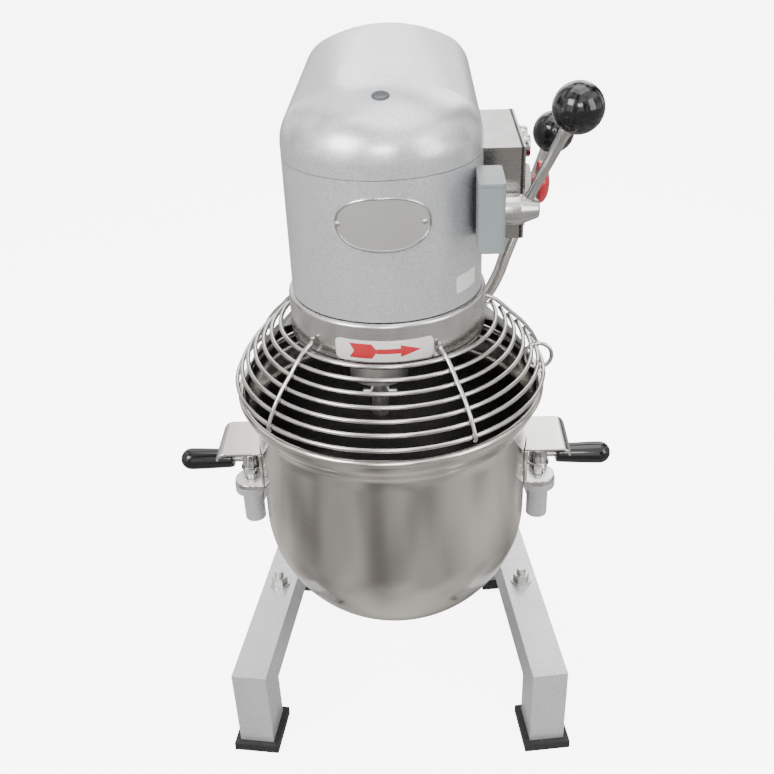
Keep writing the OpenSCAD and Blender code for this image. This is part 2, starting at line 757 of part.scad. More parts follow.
front_leg_left();
front_leg_right();
base_frame();
foot_pads();
leg_bolts();
leg_nuts();
column();
column_bolts();
slideway();
head_casing();
front_cap();
rear_panel();
panel_screws();
cap_plug();
nameplate();
nameplate_rivets();
arrow_label();
gearbox_frame();
collar();
ring_gear();
splash_shield();
control_box();
control_lid();
button_bezels();
estop_base();
interlock_box();
motor();
drive_belt();
main_bearings();
cable_gland();
guard_carrier();
guard_rings();
guard_ribs();
start_button();
stop_button();
estop_button();
shift_hub();
shift_shaft();
shift_rod();
shift_ball();
dog_sleeve();
motor_pulley();
input_shaft();
driven_pulley();
low_gear();
high_gear();
main_shaft();
planet_carrier();
planet_pinion();
agitator_shaft();
bowl_yoke();
lift_shaft();
lift_lever();
lift_ball();
bowl_shell();
bowl_brackets();
clamp_left();
clamp_right();
grip_left();
grip_right();
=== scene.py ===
import bpy
import bmesh
import json
import math
from mathutils import Matrix, Vector


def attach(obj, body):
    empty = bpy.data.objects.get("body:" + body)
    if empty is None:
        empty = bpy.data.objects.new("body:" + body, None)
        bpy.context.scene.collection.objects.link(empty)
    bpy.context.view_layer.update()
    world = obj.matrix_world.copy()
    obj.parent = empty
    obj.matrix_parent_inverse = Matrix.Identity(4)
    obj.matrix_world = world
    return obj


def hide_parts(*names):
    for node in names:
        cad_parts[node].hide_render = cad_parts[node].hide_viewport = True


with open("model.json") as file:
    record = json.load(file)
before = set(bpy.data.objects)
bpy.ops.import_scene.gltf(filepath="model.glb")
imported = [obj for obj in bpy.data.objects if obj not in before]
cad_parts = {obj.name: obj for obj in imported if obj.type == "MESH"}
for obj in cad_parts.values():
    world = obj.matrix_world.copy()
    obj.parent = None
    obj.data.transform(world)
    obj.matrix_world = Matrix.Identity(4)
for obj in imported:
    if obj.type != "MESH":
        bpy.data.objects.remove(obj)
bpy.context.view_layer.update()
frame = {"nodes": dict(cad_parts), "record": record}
nodes = frame["nodes"]
MM = 0.001

# ---------------------------------------------------------------- materials


def new_material(name, color, metallic=0.0, roughness=0.5, coat=0.0, coat_roughness=0.1, specular=0.5):
    m = bpy.data.materials.new(name)
    m.use_nodes = True
    nt = m.node_tree
    bsdf = nt.nodes["Principled BSDF"]
    bsdf.inputs["Base Color"].default_value = (*color, 1)
    bsdf.inputs["Metallic"].default_value = metallic
    bsdf.inputs["Roughness"].default_value = roughness
    bsdf.inputs["Coat Weight"].default_value = coat
    bsdf.inputs["Coat Roughness"].default_value = coat_roughness
    bsdf.inputs["Specular IOR Level"].default_value = specular
    return m, nt, bsdf


def noise(nt, scale, stretch=(1, 1, 1), detail=2.0, kind="noise"):
    coord = nt.nodes.new("ShaderNodeTexCoord")
    mapping = nt.nodes.new("ShaderNodeMapping")
    mapping.inputs["Scale"].default_value = stretch
    nt.links.new(coord.outputs["Object"], mapping.inputs["Vector"])
    tex = nt.nodes.new("ShaderNodeTexNoise" if kind == "noise" else "ShaderNodeTexVoronoi")
    tex.inputs["Scale"].default_value = scale
    if kind == "noise":
        tex.inputs["Detail"].default_value = detail
    nt.links.new(mapping.outputs["Vector"], tex.inputs["Vector"])
    if kind == "cells":
        split = nt.nodes.new("ShaderNodeSeparateColor")
        nt.links.new(tex.outputs["Color"], split.inputs["Color"])
        return split.outputs["Red"]
    return tex.outputs["Fac"]


def ramp(nt, fac, low, high, at=(0.35, 0.65)):
    node = nt.nodes.new("ShaderNodeValToRGB")
    node.color_ramp.elements[0].position = at[0]
    node.color_ramp.elements[1].position = at[1]
    node.color_ramp.elements[0].color = (*low, 1) if len(low) == 3 else low
    node.color_ramp.elements[1].color = (*high, 1) if len(high) == 3 else high
    nt.links.new(fac, node.inputs["Fac"])
    return node.outputs["Color"]


def vary(nt, bsdf, socket, fac, low, high, at=(0.35, 0.65)):
    nt.links.new(ramp(nt, fac, low, high, at), bsdf.inputs[socket])


def bump(nt, bsdf, heights):
    last = None
    for fac, strength, distance in heights:
        node = nt.nodes.new("ShaderNodeBump")
        node.inputs["Strength"].default_value = strength
        node.inputs["Distance"].default_value = distance
        nt.links.new(fac, node.inputs["Height"])
        if last:
            nt.links.new(last, node.inputs["Normal"])
        last = node.outputs["Normal"]
    nt.links.new(last, bsdf.inputs["Normal"])


def grey(v):
    return (v, v, v)


def paint_material(name, tone, rough=(0.30, 0.40)):
    m, nt, bsdf = new_material(name, tone, metallic=0.6, coat=0.4, coat_roughness=0.10)
    cells = noise(nt, 1100, kind="cells")
    low = tuple(c * 0.86 for c in tone)
    high = tuple(min(1, c * 1.14) for c in tone)
    vary(nt, bsdf, "Base Color", cells, low, high, (0.1, 0.9))
    vary(nt, bsdf, "Roughness", noise(nt, 24), grey(rough[0]), grey(rough[1]))
    bump(nt, bsdf, [(noise(nt, 420, detail=1), 0.10, 0.0004), (cells, 0.05, 0.0002)])
    return m


def brushed_material(name, tone, rough, stretch, strength=0.10):
    m, nt, bsdf = new_material(name, tone, metallic=1.0)
    lines = noise(nt, 1.0, stretch, detail=3)
    broad = noise(nt, 9, detail=2)
    low = tuple(c * 0.92 for c in tone)
    vary(nt, bsdf, "Base Color", broad, low, tone, (0.3, 0.7))
    vary(nt, bsdf, "Roughness", lines, grey(rough[0]), grey(rough[1]), (0.3, 0.7))
    bump(nt, bsdf, [(lines, strength, 0.0001)])
    return m


def plastic_material(name, tone, rough, grain=900, coat=0.0, strength=0.06):
    m, nt, bsdf = new_material(name, tone, roughness=rough, coat=coat, coat_roughness=0.05)
    fine = noise(nt, grain, detail=1)
    vary(nt, bsdf, "Base Color", noise(nt, 14), tuple(c * 0.93 for c in tone), tone)
    vary(nt, bsdf, "Roughness", noise(nt, 40), grey(rough * 0.85), grey(min(1, rough * 1.15)))
    bump(nt, bsdf, [(fine, strength, 0.0001)])
    return m


SLOTS = {
    "hammertone": paint_material("hammertone_paint", (0.62, 0.625, 0.64)),
    "brushed_stainless": brushed_material(
        "brushed_stainless", (0.66, 0.65, 0.635), (0.22, 0.32), (60, 60, 2600), strength=0.04),
    "polished_stainless": brushed_material("polished_stainless", (0.70, 0.685, 0.66), (0.17, 0.26),
        (30, 30, 1800), strength=0.06),
    "bright_wire": brushed_material("bright_wire", (0.56, 0.55, 0.53), (0.14, 0.24), (900, 900, 900),
        strength=0.04),
    "turned_steel": brushed_material("turned_steel", (0.62, 0.61, 0.60), (0.20, 0.30), (2200, 40, 40),
        strength=0.03),
    "zinc": brushed_material("zinc_plate", (0.60, 0.60, 0.58), (0.30, 0.45), (500, 500, 500)),
    "gear_steel": brushed_material("gear_steel", (0.36, 0.36, 0.37), (0.30, 0.42), (700, 700, 700)),
    "cast_iron": paint_material("cast_paint", (0.10, 0.10, 0.105), (0.5, 0.65)),
    "motor_paint": paint_material("motor_paint", (0.07, 0.10, 0.14), (0.4, 0.5)),
    "black_plastic": plastic_material("black_phenolic", (0.006, 0.006, 0.007), 0.12, coat=0.1, strength=0.01),
    "interlock_plastic": plastic_material("interlock_plastic", (0.22, 0.255, 0.25), 0.34),
    "pale_plastic": plastic_material("pale_plastic", (0.62, 0.61, 0.57), 0.35),
    "green_plastic": plastic_material("green_plastic", (0.02, 0.30, 0.09), 0.25, coat=0.3),
    "red_plastic": plastic_material("red_plastic", (0.50, 0.012, 0.025), 0.25, coat=0.3),
    "gland_plastic": plastic_material("gland_plastic", (0.02, 0.02, 0.02), 0.5),
    "black_rubber": plastic_material("black_rubber", (0.012, 0.012, 0.012), 0.62, grain=1400, strength=0.2),
    "plug_plastic": plastic_material("plug_plastic", (0.035, 0.045, 0.055), 0.4),
    "label_film": plastic_material("label_film", (0.80, 0.78, 0.74), 0.35),
    "plate_metal": brushed_material("plate_metal", (0.66, 0.66, 0.66), (0.44, 0.54), (60, 60, 2600),
        strength=0.03),
}
# A darker copy of the bowl steel: painted shade for the inside of the bowl and for the splash shield under
# the head.
SHADED_STEEL = brushed_material("shaded_inner_steel", (0.24, 0.235, 0.23), (0.26, 0.40), (14, 14, 2400),
    strength=0.05)
BOWL_STEEL = brushed_material("bowl_steel", (0.66, 0.64, 0.60), (0.14, 0.24), (14, 14, 2400), strength=0.05)
RED_INK = plastic_material("red_ink", (0.55, 0.02, 0.03), 0.35)
# Near-black: the lid seal's own colour, and painted shade in the gap beside the interlock housing.
DARK = plastic_material("black_seal_and_gap_shade", (0.015, 0.015, 0.016), 0.7)
BOX_STEEL = brushed_material("box_steel", (0.36, 0.35, 0.335), (0.20, 0.30), (60, 60, 2600), strength=0.03)
# A brighter copy of the steel, as painted light on the planet carrier and agitator shaft in the shade under
# the head.
LIT_STEEL = brushed_material("lit_carrier_steel", (0.80, 0.80, 0.79), (0.30, 0.42), (400, 400, 400), strength=0.03)

for row in frame["record"]["subparts"]:
    if row["node"] in nodes:
        data = nodes[row["node"]]
        while len(data.material_slots) < 1:
            data.data.materials.append(None)
        for s in data.material_slots:
            s.material = SLOTS[row["material_slot"]]

# The carrier and shaft get the brighter steel as painted light.
for name, steel in (("control_box", BOX_STEEL), ("control_lid", BOX_STEEL),
                    ("planet_carrier", LIT_STEEL), ("agitator_shaft", LIT_STEEL)):
    nodes[name].material_slots[0].material = steel

# ---------------------------------------------------------------- mesh tools


def finish_mesh(name, bm, material, body, stands_for=(), angle=35, bevel=0.0, segments=3, extra=None):
    bmesh.ops.recalc_face_normals(bm, faces=bm.faces)
    mesh = bpy.data.meshes.new(name)
    bm.to_mesh(mesh)
    bm.free()
    mesh.polygons.foreach_set("use_smooth", [True] * len(mesh.polygons))
    mesh.set_sharp_from_angle(angle=math.radians(angle))
    mesh.materials.append(material)
    if extra:
        mesh.materials.append(extra)
    obj = bpy.data.objects.new(name, mesh)
    bpy.context.scene.collection.objects.link(obj)
    if bevel:
        add_bevel(obj, bevel, segments)
    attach(obj, body)
    if stands_for:
        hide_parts(*stands_for)
    return obj


def add_bevel(obj, width, segments=3, angle=38):
    mod = obj.modifiers.new("edge_round", "BEVEL")
    mod.width = width * MM
    mod.segments = segments
    mod.limit_method = "ANGLE"
    mod.angle_limit = math.radians(angle)
    mod.harden_normals = False
    mod.use_clamp_overlap = True


def arc(cx, cy, r, a0, a1, n):
    return [
        (cx + r * math.cos(math.radians(a0 + (a1 - a0) * i / n)),
            cy + r * math.sin(math.radians(a0 + (a1 - a0) * i / n)))
        for i in range(n + 1)
    ]


def add_lathe(bm, profile, place=None, segs=96, closed=False, a0=0.0, a1=360.0):
    """Turns a profile of (radius, height) in mm about Z; place is a matrix in metres."""
    full = abs(a1 - a0) >= 359.9
    count = segs if full else segs + 1
    rings = []
    for r, z in profile:
        if r < 1e-6 and full:
            rings.append([bm.verts.new((0, 0, z * MM))])
            continue
        ring = []
        for k in range(count):
            a = math.radians(a0 + (a1 - a0) * k / segs)
            ring.append(bm.verts.new((r * MM * math.cos(a), r * MM * math.sin(a), z * MM)))
        rings.append(ring)
    pairs = list(zip(rings, rings[1:])) + ([(rings[-1], rings[0])] if closed else [])
    for low, high in pairs:
        for k in range(segs):
            j = (k + 1) % count
            quad = [low[k % len(low)], low[j % len(low)], high[j % len(high)], high[k % len(high)]]
            face = list(dict.fromkeys(quad))
            if len(face) > 2:
                bm.faces.new(face)
    if not full and closed:
        bm.faces.new([ring[0] for ring in rings])
        bm.faces.new([ring[-1] for ring in reversed(rings)])
    made = [v for ring in rings for v in ring]
    if place is not None:
        bmesh.ops.transform(bm, matrix=place, verts=made)
    return made


def add_tube(bm, points, radius, segs=16, closed=False):
    """Sweeps a circle along points in mm; radius may be a list."""
    pts = [Vector(p) for p in points]
    n = len(pts)
    radii = radius if isinstance(radius, (list, tuple)) else [radius] * n
    tangents = []
    for i in range(n):
        a = pts[(i - 1) % n] if closed or i else pts[0]
        b = pts[(i + 1) % n] if closed or i < n - 1 else pts[-1]
        tangents.append((b - a).normalized())
    side = tangents[0].orthogonal().normalized()
    rings = []
    for i, (p, t) in enumerate(zip(pts, tangents)):
        side = (side - t * side.dot(t)).normalized()
        up = t.cross(side)
        ring = []
        for k in range(segs):
            a = 2 * math.pi * k / segs
            offset = side * math.cos(a) * radii[i] + up * math.sin(a) * radii[i]
            ring.append(bm.verts.new((p + offset) * MM))
        rings.append(ring)
    pairs = list(zip(rings, rings[1:])) + ([(rings[-1], rings[0])] if closed else [])
    for low, high in pairs:
        for k in range(segs):
            j = (k + 1) % segs
            bm.faces.new((low[k], low[j], high[j], high[k]))
    if not closed:
        for ring, p, t, s in ((rings[0], pts[0], tangents[0], -1), (rings[-1], pts[-1], tangents[-1], 1)):
            r = radii[0] if s < 0 else radii[-1]
            inner = []
            for v in ring:
                inner.append(bm.verts.new(p * MM + (v.co - p * MM) * 0.6 + t * s * r * 0.35 * MM))
            tip = bm.verts.new((p + t * s * r * 0.45) * MM)
            for k in range(segs):
                j = (k + 1) % segs
                bm.faces.new((ring[k], ring[j], inner[j], inner[k]))
                bm.faces.new((inner[k], inner[j], tip))


def add_prism(bm, outline, z0, z1, place=None):
    """Extrudes an outline of (x, y) in mm from z0 to z1."""
    low = [bm.verts.new((x * MM, y * MM, z0 * MM)) for x, y in outline]
    high = [bm.verts.new((x * MM, y * MM, z1 * MM)) for x, y in outline]
    bm.faces.new(list(reversed(low)))
    bm.faces.new(high)
    n = len(outline)
    for i in range(n):
        j = (i + 1) % n
        bm.faces.new((low[i], low[j], high[j], high[i]))
    if place is not None:
        bmesh.ops.transform(bm, matrix=place, verts=low + high)


def place_at(x, y, z, axis="Z"):
    turn = {
        "Z": Matrix.Identity(4),
        "X": Matrix.Rotation(math.radians(90), 4, "Y"),
        "Y": Matrix.Rotation(math.radians(-90), 4, "X"),
        "-Y": Matrix.Rotation(math.radians(90), 4, "X"),
    }[axis]
    return Matrix.Translation((x * MM, y * MM, z * MM)) @ turn


def around(r, z, a):
    """A point at radius r and height z, at an angle from the front towards the right."""
    t = math.radians(a)
    return (r * math.sin(t), -r * math.cos(t), z)


def smooth_path(points, steps=8):
    """Catmull-Rom curve through the points."""
    p = [Vector(q) for q in points]
    p = [p[0] * 2 - p[1]] + p + [p[-1] * 2 - p[-2]]
    out = []
    for i in range(1, len(p) - 2):
        for k in range(steps):
            t = k / steps
            a, b, c, d = p[i - 1], p[i], p[i + 1], p[i + 2]
            square = (2 * a - 5 * b + 4 * c - d) * t * t
            cube = (3 * b - a - 3 * c + d) * t ** 3
            out.append(0.5 * (2 * b + (c - a) * t + square + cube))
    return out + [p[-2]]


# ---------------------------------------------------------------- head

HEAD_R, HEAD_Z, CROWN_Z, HEAD_BACK = 100, 612.6, 824, 275
CROWN_R, SHOULDER_R, SKIN = 170, 45, 3.2
shoulder_x = HEAD_R - SHOULDER_R
shoulder_a = math.degrees(math.acos(shoulder_x / (CROWN_R - SHOULDER_R)))
shoulder_z = CROWN_Z - CROWN_R + (CROWN_R - SHOULDER_R) * math.sin(math.radians(shoulder_a))


def arch(d, foot):
    top = arc(0, CROWN_Z - CROWN_R, CROWN_R - d, 90, shoulder_a, 22)
    bend = arc(shoulder_x, shoulder_z, SHOULDER_R - d, shoulder_a, 0, 22)[1:]
    side = [(HEAD_R - d, bend[-1][1] + (foot - bend[-1][1]) * i / 8) for i in range(1, 9)]
    return top + bend + side


def head_shell(bm, back):
    """The head's skin: an arch turned about the front and drawn straight to the back."""
    turn = 64
    stations = [("line", -1, back * (1 - i / 12)) for i in range(12)]
    stations += [("turn", -90 + 180 * i / turn, 0) for i in range(turn + 1)]
    stations += [("line", 1, back * (i + 1) / 12) for i in range(12)]
    grids = []
    for d in (0.0, SKIN):
        rows = []
        for kind, a, y in stations:
            row = []
            for r, z in arch(d, HEAD_Z):
                if kind == "line":
                    co = (a * r, y, z)
                else:
                    co = (r * math.sin(math.radians(a)), -r * math.cos(math.radians(a)), z)
                row.append(bm.verts.new(Vector(co) * MM))
            rows.append(row)
        grids.append(rows)
        for left, right in zip(rows, rows[1:]):
            for i in range(len(left) - 1):
                bm.faces.new((left[i], left[i + 1], right[i + 1], right[i]))
    outer, inner = grids
    for k in range(len(outer) - 1):
        bm.faces.new((outer[k][-1], inner[k][-1], inner[k + 1][-1], outer[k + 1][-1]))
    for k in (0, -1):
        for i in range(len(outer[0]) - 1):
            bm.faces.new((outer[k][i], outer[k][i + 1], inner[k][i + 1], inner[k][i]))
    bmesh.ops.remove_doubles(bm, verts=bm.verts, dist=0.00002)
    loose = [f for f in bm.faces if f.calc_area() < 1e-12]
    bmesh.ops.delete(bm, geom=loose, context="FACES")
    bmesh.ops.recalc_face_normals(bm, faces=bm.faces)


def temp_object(name, bm):
    mesh = bpy.data.meshes.new(name)
    bm.to_mesh(mesh)
    bm.free()
    obj = bpy.data.objects.new(name, mesh)
    bpy.context.scene.collection.objects.link(obj)
    return obj


def cut(base, tool, operation):
    """The mesh of base after a boolean with tool."""
    mod = base.modifiers.new("cut", "BOOLEAN")
    mod.operation = operation
    mod.solver = "EXACT"
    mod.object = tool
    bpy.context.view_layer.update()
    result = bpy.data.meshes.new_from_object(base.evaluated_get(bpy.context.evaluated_depsgraph_get()))
    base.modifiers.remove(mod)
    bm = bmesh.new()
    bm.from_mesh(result)
    bpy.data.meshes.remove(result)
    return bm


def cap_tool(grow):
    """The region of the front cap, as a prism across X."""
    g, z = grow, 755 - grow
    outline = [(-160, z), (-160, 850), (g, 850)] + arc(-30 + g, z + 30, 30, 0, -90, 12)
    bm = bmesh.new()
    place = Matrix(((0, 0, 1, 0), (1, 0, 0, 0), (0, 1, 0, 0), (0, 0, 0, 1)))
    add_prism(bm, outline, -140, 140, place)
    bmesh.ops.recalc_face_normals(bm, faces=bm.faces)
    return temp_object("cap_tool", bm)


def side_hole(x, y, z, r):
    bm = bmesh.new()
    add_lathe(bm, [(0, -25), (r, -25), (r, 25), (0, 25)], place_at(x, y, z, "X"), segs=48)
    bmesh.ops.recalc_face_normals(bm, faces=bm.faces)
    return temp_object("hole_tool", bm)


def build_head():
    bm = bmesh.new()
    head_shell(bm, HEAD_BACK - 7)
    shell = temp_object("head_blank", bm)
    outer, inner = cap_tool(0.35), cap_tool(-0.35)
    casing = temp_object("casing_blank", cut(shell, outer, "DIFFERENCE"))
    hole = side_hole(95, -24, 697, 9)
    body = cut(casing, hole, "DIFFERENCE")
    cap = cut(shell, inner, "INTERSECT")
    for tool in (shell, outer, inner, casing, hole):
        bpy.data.objects.remove(tool)
    steel = SLOTS["hammertone"]
    finish_mesh("head_skin", body, steel, "machine", ("head_casing",), 32, 0.5, 2)
    finish_mesh("cap_skin", cap, steel, "machine", ("front_cap",), 32, 0.5, 2)


build_head()

# Oval plug that follows the crown
bm = bmesh.new()
tilt = Matrix.Rotation(math.asin(46 / CROWN_R), 4, "X")
crown_at = CROWN_Z - CROWN_R + math.sqrt(CROWN_R ** 2 - 46 ** 2)
profile = [(0, -3), (7.8, -3), (8.4, -1), (8.6, 0.1), (8.2, 0.5), (6, 0.8), (5.4, 0.5), (0, 0.6)]
add_lathe(bm, profile, Matrix.Translation((0.002, -0.046, crown_at * MM)) @ tilt, segs=40)
finish_mesh("plug_cap", bm, SLOTS["plug_plastic"], "machine", ("cap_plug",))

# ---------------------------------------------------------------- nameplate and sticker


def wrapped_panel(bm, rows, r0, r1, height):
    """A closed panel on a cylinder from rows of (v, u_left, u_right)."""
    steps = 24
    grids = []
    for r in (r0, r1):
        grid = []
        for v, left, right in rows:
            line = []
            for k in range(steps + 1):
                a = (left + (right - left) * k / steps) / r0
                line.append(bm.verts.new(Vector((r * math.sin(a), -r * math.cos(a), height + v)) * MM))
            grid.append(line)
        grids.append(grid)
        for low, high in zip(grid, grid[1:]):
            for k in range(steps):
                bm.faces.new((low[k], low[k + 1], high[k + 1], high[k]))
    back, front = grids
    border = [(0, k) for k in range(steps + 1)] + [(i, steps) for i in range(1, len(rows))]
    border += [(len(rows) - 1, k) for k in range(steps - 1, -1, -1)]
    border += [(i, 0) for i in range(len(rows) - 2, 0, -1)]
    for p, q in zip(border, border[1:] + border[:1]):
        bm.faces.new((back[p[0]][p[1]], back[q[0]][q[1]], front[q[0]][q[1]], front[p[0]][p[1]]))


def oval_rows(cx, a, b, power=2.3, n=18):
    rows = []
    for i in range(n + 1):
        v = -b * math.cos(math.pi * i / n) * 0.9995
        half = a * (1 - abs(v / b) ** power) ** (1 / power)
        rows.append((v, cx - half, cx + half))
    return rows


PLATE_Z, LABEL_Z, STICKER_Z = 713, 637, 583
bm = bmesh.new()
wrapped_panel(bm, oval_rows(2, 46, 26.5), HEAD_R + 0.1, HEAD_R + 1.0, PLATE_Z)
finish_mesh("plate_field", bm, SLOTS["plate_metal"], "machine", ("nameplate",))
bm = bmesh.new()
rim = []
for i in range(96):
    t = 2 * math.pi * i / 96
    c, s = math.cos(t), math.sin(t)
    u = 2 + 45.3 * math.copysign(abs(c) ** (2 / 2.3), c)
    v = 25.8 * math.copysign(abs(s) ** (2 / 2.3), s)
    a = u / HEAD_R
    rim.append(((HEAD_R + 1.1) * math.sin(a), -(HEAD_R + 1.1) * math.cos(a), PLATE_Z + v))
add_tube(bm, rim, 1.1, segs=10, closed=True)
finish_mesh("plate_rim", bm, SLOTS["bright_wire"], "machine")
bm = bmesh.new()
for a in (-24, 24):
    place = Matrix.Rotation(math.radians(a), 4, "Z") @ place_at(0, -HEAD_R - 1.0, PLATE_Z, "-Y")
    add_lathe(bm, [(0, 1.8), (1.2, 1.7), (2.1, 1.2), (2.5, 0.4), (2.6, 0)], place, segs=24)
finish_mesh("plate_rivets", bm, SLOTS["zinc"], "machine", ("nameplate_rivets",))

bm = bmesh.new()
wrapped_panel(bm, [(-9 + 18 * i / 6, 79, 112) for i in range(7)], HEAD_R + 0.1, HEAD_R + 0.3, LABEL_Z)
finish_mesh("blank_label", bm, SLOTS["label_film"], "machine")

COLLAR_R = 104.2
rows = []
for i in range(25):
    v = -11.5 * math.cos(math.pi * i / 24)
    cut_in = 5 - math.sqrt(max(0, 25 - max(0, abs(v) - 6.5) ** 2))
    rows.append((v, -52 + cut_in, 49 - cut_in))
bm = bmesh.new()
wrapped_panel(bm, rows, COLLAR_R + 0.06, COLLAR_R + 0.35, STICKER_Z)
finish_mesh("arrow_sticker", bm, SLOTS["label_film"], "machine", ("arrow_label",))
bm = bmesh.new()
# Arrow: a bar, a head to the right and a notched tail
INK = (COLLAR_R + 0.3, COLLAR_R + 0.55, STICKER_Z)
tail = [(v, -37 + 5 * (1 - abs(v) / 8), -8 - 6 * abs(v) / 8) for v in range(-8, 9, 2)]
wrapped_panel(bm, tail, *INK)
wrapped_panel(bm, [(-2.7, -9, 17), (0, -9, 17), (2.7, -9, 17)], *INK)
wrapped_panel(bm, [(v, 15, 36 - 20.8 * abs(v) / 6.5) for v in (-6.5, -4.5, -2, 0, 2, 4.5, 6.5)], *INK)
finish_mesh("arrow_print", bm, RED_INK, "machine")

# ---------------------------------------------------------------- collar, guard, shield

bm = bmesh.new()
top = HEAD_Z - 1.2
profile = [(95.7, 570.5), (95.7, top)] + arc(COLLAR_R - 4, top - 4, 4, 90, 0, 8)
profile += arc(COLLAR_R - 2, 570.7, 2, 0, -90, 6) + [(97.5, 568.7)]
add_lathe(bm, profile, segs=128, closed=True)
finish_mesh("collar_skin", bm, SLOTS["brushed_stainless"], "machine", ("collar",))

GUARD_R = [116, 126.5, 136, 146, 155, 162.6, 169]
GUARD_Z = [572, 563, 553, 543.5, 533, 522, 509]
GUARD_FROM, GUARD_TO = -118, 104
bm = bmesh.new()
for r, z in zip(GUARD_R, GUARD_Z):
    add_tube(bm, [around(r, z, GUARD_FROM + (GUARD_TO - GUARD_FROM) * i / 110) for i in range(111)], 2.4)
finish_mesh("guard_wires", bm, SLOTS["bright_wire"], "guard", ("guard_rings",))

bm = bmesh.new()
for a in (-118, -44, 30, 104):
    profile = [(107.5, 586), (107.7, 583), (109.8, 580)]
    profile += [(r + 3.2, z + 3.2) for r, z in zip(GUARD_R[:6], GUARD_Z[:6])]
    profile += [(GUARD_R[6] + 3.9, GUARD_Z[6] + 1.5), (GUARD_R[6] + 2.6, GUARD_Z[6] - 3.2)]
    add_tube(bm, smooth_path([around(r, z, a) for r, z in profile], 5), 2.3)
finish_mesh("guard_uprights", bm, SLOTS["bright_wire"], "guard", ("guard_ribs",))

bm = bmesh.new()
loop = [(163 + 14.8 * math.cos(2 * math.pi * i / 48),
    521 + 15 * math.sin(2 * math.pi * i / 48)) for i in range(48)]
add_tube(bm, [around(r, z, 88) for r, z in loop], 2.2, closed=True)
finish_mesh("guard_loop", bm, SLOTS["bright_wire"], "guard")

bm = bmesh.new()
inset, sheet = 9, 1.2
line = [(96, 563.4), (COLLAR_R, 563.4)] + [(r - inset, z - 4) for r, z in zip(GUARD_R[1:], GUARD_Z[1:])]
line = [(p.x, p.y) for p in smooth_path([(r, z, 0) for r, z in line[1:]], 4)]
line = [(95.4, 576.9), (95.4, 563.6)] + line + [(GUARD_R[6] - inset, 500)]
back = [(r - sheet, z - 0.6) for r, z in reversed(line[2:-1])]
add_lathe(bm, line + [(GUARD_R[6] - inset - sheet, 500)] + back + [(94.3, 562.6), (94.3, 576.9)],
    segs=96, closed=True, a0=2, a1=180)
# The shield sheet takes the darker steel as painted shade.
finish_mesh("shield_sheet", bm, SHADED_STEEL, "machine", ("splash_shield",))

# ---------------------------------------------------------------- bowl

RIM_R, RIM_Z, WALL_R, BOTTOM_Z, CURVE_H, SHEET = 170, 495, 153, 186, 144, 1.6


def bowl_line(d):
    line = []
    for i in range(37):
        a = math.radians(i * 90 / 36)
        line.append(((WALL_R - d) * math.sin(a), BOTTOM_Z + CURVE_H - (CURVE_H - d) * math.cos(a)))
    line += [(WALL_R - d, RIM_Z - z) for z in (120, 80, 50, 38)]
    flare = ((0.8, 34), (3.5, 29), (7.5, 24), (10.5, 19), (12.2, 15), (12.9, 10))
    line += [(WALL_R + out - d, RIM_Z - z) for out, z in flare]
    return line


bm = bmesh.new()
outer = bowl_line(0) + [(WALL_R + 13.4, RIM_Z - 7.4)]
rim = arc(RIM_R - 4, RIM_Z - 4, 4, -75, 200, 14)
inner = bowl_line(SHEET)[::-1]
add_lathe(bm, outer + rim + inner, segs=144)
# Faces inside the bowl below the flare take the darker steel as painted shade.
for f in bm.faces:
    spot = f.calc_center_median() / MM
    reach = math.hypot(spot.x, spot.y)
    if spot.z > BOTTOM_Z + CURVE_H:
        inside = reach < WALL_R - 1
    else:
        rise = (spot.z - BOTTOM_Z - CURVE_H) / (CURVE_H - 0.8)
        inside = (reach / (WALL_R - 0.8)) ** 2 + rise ** 2 < 1
    if inside and spot.z < RIM_Z - 35:
        f.material_index = 1
finish_mesh("bowl_skin", bm, BOWL_STEEL, "bowl", ("bowl_shell",), 50, extra=SHADED_STEEL)

PIN_X, PIN_Y, EAR_Z = 170, -5, 357


def grid_sheet(bm, front, back):
    """A closed sheet from two grids of points in mm."""
    both = []
    for grid in (front, back):
        rows = [[bm.verts.new(Vector(p) * MM) for p in row] for row in grid]
        both.append(rows)
        for low, high in zip(rows, rows[1:]):
            for k in range(len(low) - 1):
                bm.faces.new((low[k], low[k + 1], high[k + 1], high[k]))
    a, b = both
    m, n = len(a), len(a[0])
    border = [(0, k) for k in range(n)] + [(i, n - 1) for i in range(1, m)]
    border += [(m - 1, k) for k in range(n - 2, -1, -1)] + [(i, 0) for i in range(m - 2, 0, -1)]
    for p, q in zip(border, border[1:] + border[:1]):
        bm.faces.new((a[p[0]][p[1]], a[q[0]][q[1]], b[q[0]][q[1]], b[p[0]][p[1]]))


